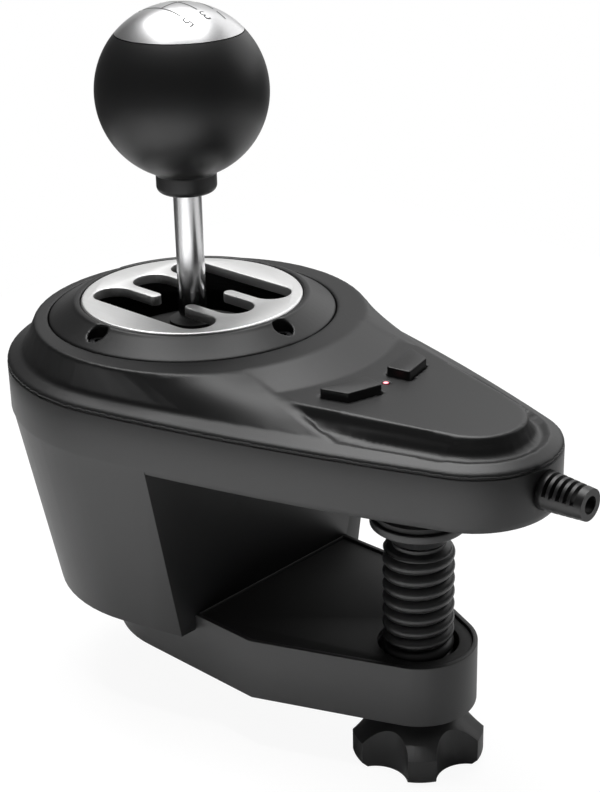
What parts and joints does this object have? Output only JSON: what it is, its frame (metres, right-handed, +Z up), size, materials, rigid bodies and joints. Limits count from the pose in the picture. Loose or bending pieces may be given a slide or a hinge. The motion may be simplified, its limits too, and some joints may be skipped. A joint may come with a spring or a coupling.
{
  "type": "racing gear shifter",
  "caption": "Desk-clamped gear shifter for racing games: ball knob on a chromed lever in an H-pattern gate, teardrop housing with push buttons, screw clamp with star knob.",
  "frame": {"origin": "on the rubber of the clamp's upper jaw, on the axis of the clamp screw", "axes": "+Z up along the clamp screw, +X away from the driver towards the tail, +Y to the driver's left"},
  "size_m": [0.1951, 0.11, 0.2029],
  "materials": {
    "shell": "satin",
    "bezel": "satin",
    "gate": "satin",
    "chrome": "polished",
    "knob": "satin",
    "cap": "brushed",
    "sleeve": "machined",
    "button": "satin",
    "lens": "gloss",
    "clamp": "satin",
    "nut": "machined",
    "rubber": "matte",
    "fastener": "blackened",
    "steel": "machined",
    "spring": "drawn",
    "hub": "satin",
    "acetal": "smooth",
    "sensor": "satin",
    "board": "lacquered"
  },
  "bodies": {
    "housing": {"top_shell": "shell", "lower_shell": "shell", "gate_bezel": "bezel", "gate_plate": "gate", "bezel_screws": "fastener", "housing_screws": "fastener", "clamp_arm": "shell", "arm_insert": "rubber", "arm_screws": "fastener", "clamp_nut": "nut", "jaw_rubber": "rubber", "strain_relief": "rubber", "light_lens": "lens", "main_board": "board", "button_board": "board", "button_switches": "sensor", "board_screws": "fastener", "pivot_frame": "steel", "frame_screws": "fastener", "detent_block": "acetal", "centring_spring_left": "spring", "centring_spring_right": "spring", "select_sensor": "sensor"},
    "gimbal": {"gimbal_ring": "steel", "trunnion_pins": "steel", "shift_sensor": "sensor"},
    "lever": {"lever_hub": "hub", "shift_pin": "steel", "lever_shaft": "chrome", "dust_dome": "rubber", "detent_plunger": "steel", "detent_spring": "spring", "knob_ball": "knob", "knob_insert": "sleeve", "knob_cap": "cap"},
    "left_button": {"button_left": "button"},
    "right_button": {"button_right": "button"},
    "pad": {"pressure_pad": "clamp", "pad_rubber": "rubber"},
    "screw": {"clamp_screw": "clamp", "star_knob": "clamp"}
  },
  "joints": [
    {"name": "select", "type": "hinge", "parent": "housing", "child": "gimbal", "pos_m": [-0.0859, 0, -0.0265], "axis": [1, 0, 0], "range_deg": [-14.5, 14.5], "stiffness_Nm_per_rad": 0.6, "deforming": ["centring_spring_left", "centring_spring_right"]},
    {"name": "shift", "type": "hinge", "parent": "gimbal", "child": "lever", "pos_m": [-0.0859, 0, -0.0265], "axis": [0, 1, 0], "range_deg": [-15.4, 15.4]},
    {"name": "left_press", "type": "slide", "parent": "housing", "child": "left_button", "axis": [0, 0, -1], "range_m": [0, 0.0008], "stiffness_N_per_m": 900, "springref_m": -0.0008},
    {"name": "right_press", "type": "slide", "parent": "housing", "child": "right_button", "axis": [0, 0, -1], "range_m": [0, 0.0008], "stiffness_N_per_m": 900, "springref_m": -0.0008},
    {"name": "pad_slide", "type": "slide", "parent": "housing", "child": "pad", "axis": [0, 0, 1], "range_m": [-0.028, 0.0036]},
    {"name": "screw_turn", "type": "hinge", "parent": "pad", "child": "screw", "pos_m": [0, 0, -0.0735], "axis": [0, 0, 1], "range_deg": [-2521, 325]}
  ],
  "couplings": [
    {"joint": "screw_turn", "follows": "pad_slide", "rad_per_m": 1570.8}
  ]
}
